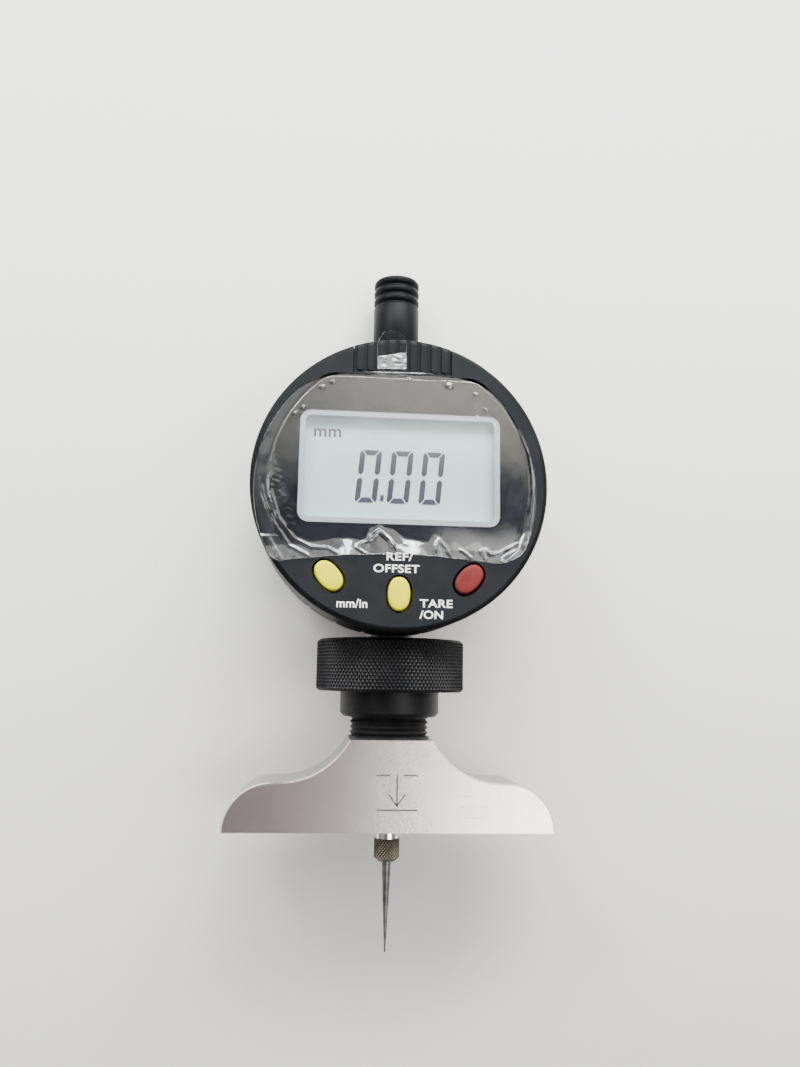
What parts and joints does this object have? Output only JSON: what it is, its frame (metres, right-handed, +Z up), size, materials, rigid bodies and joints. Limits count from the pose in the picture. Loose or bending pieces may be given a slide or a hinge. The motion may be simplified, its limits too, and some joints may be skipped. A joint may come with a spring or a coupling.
{
  "type": "digital tread depth gauge",
  "caption": "Digital depth indicator clamped in a steel bridge base, with a sprung needle probe, knurled clamp nut, display window, three buttons and a battery slide.",
  "frame": {"origin": "middle of the measuring face, on the spindle's axis", "axes": "+Z up the spindle, away from the measured surface; -Y the way the display faces; +X to the right as the display is read"},
  "size_m": [0.0636, 0.0341, 0.1376],
  "materials": {
    "ground_steel": "ground, satin",
    "black_oxide_steel": "black oxide, knurled",
    "face_plastic": "fine moulded grain",
    "case_plastic": "satin moulded",
    "cap_plastic": "satin turned",
    "window_clear": "clear, glossy",
    "mask_black": "gloss print",
    "frame_grey": "satin",
    "lcd_glass": "reflective display",
    "button_yellow": "matte",
    "button_red": "matte",
    "film_clear": "thin film",
    "bright_steel": "ground bright",
    "collar_steel": "knurled",
    "needle_steel": "ground",
    "screw_steel": "zinc",
    "bronze": "sintered",
    "board_green": "solder mask",
    "chip_black": "epoxy",
    "contact_gold": "plated",
    "elastomer": "soft",
    "stop_rubber": "soft",
    "cell_steel": "plated"
  },
  "bodies": {
    "base": {"base_bridge": "ground_steel", "clamp_sleeve": "black_oxide_steel", "sleeve_screw": "screw_steel"},
    "clamp_ring": {"clamp_ring": "ground_steel"},
    "clamp_nut": {"clamp_nut": "black_oxide_steel"},
    "head": {"stem": "bright_steel", "lower_bush": "bronze", "upper_bush": "bronze", "rear_case": "case_plastic", "back_cover": "case_plastic", "cover_screws": "screw_steel", "case_screws": "screw_steel", "front_case": "face_plastic", "dust_cap": "cap_plastic", "window_lens": "window_clear", "window_mask": "mask_black", "display_frame": "frame_grey", "lcd_panel": "lcd_glass", "connector_strips": "elastomer", "main_board": "board_green", "board_screws": "screw_steel", "processor_chip": "chip_black", "crystal_can": "screw_steel", "tact_switches": "chip_black", "contact_minus": "contact_gold", "contact_plus": "contact_gold", "guide_rail": "ground_steel", "rail_screws": "screw_steel", "spring_post": "screw_steel", "travel_stop": "stop_rubber", "return_spring": "screw_steel", "protective_film": "film_clear"},
    "probe": {"spindle": "bright_steel", "carrier": "ground_steel", "carrier_screws": "screw_steel", "scale_strip": "board_green", "guide_pin": "bright_steel", "hook_pin": "screw_steel", "contact_collar": "collar_steel", "needle_point": "needle_steel"},
    "unit_button": {"unit_button": "button_yellow"},
    "preset_button": {"preset_button": "button_yellow"},
    "zero_button": {"zero_button": "button_red"},
    "battery_slide": {"battery_cover": "face_plastic", "battery": "cell_steel"}
  },
  "joints": [
    {"name": "ring_advance", "type": "slide", "parent": "base", "child": "clamp_ring", "axis": [0, 0, 1], "range_m": [0, 0.0007]},
    {"name": "nut_turn", "type": "hinge", "parent": "clamp_ring", "child": "clamp_nut", "pos_m": [0, 0, 0.0314], "axis": [0, 0, 1], "range_deg": [0, 240]},
    {"name": "head_height", "type": "slide", "parent": "base", "child": "head", "axis": [0, 0, 1], "range_m": [0, 0.006]},
    {"name": "spindle_travel", "type": "slide", "parent": "head", "child": "probe", "axis": [0, 0, 1], "range_m": [0, 0.0254], "stiffness_N_per_m": 22, "springref_m": -0.02, "deforming": ["return_spring"]},
    {"name": "unit_button_press", "type": "slide", "parent": "head", "child": "unit_button", "axis": [0, 1, 0], "range_m": [0, 0.0005], "stiffness_N_per_m": 1500, "springref_m": -0.0005},
    {"name": "preset_button_press", "type": "slide", "parent": "head", "child": "preset_button", "axis": [0, 1, 0], "range_m": [0, 0.0005], "stiffness_N_per_m": 1500, "springref_m": -0.0005},
    {"name": "zero_button_press", "type": "slide", "parent": "head", "child": "zero_button", "axis": [0, 1, 0], "range_m": [0, 0.0005], "stiffness_N_per_m": 1500, "springref_m": -0.0005},
    {"name": "battery_slide_out", "type": "slide", "parent": "head", "child": "battery_slide", "axis": [0, 0, 1], "range_m": [0, 0.014]}
  ],
  "couplings": [
    {"joint": "ring_advance", "follows": "nut_turn", "m_per_rad": 0.00015915}
  ]
}
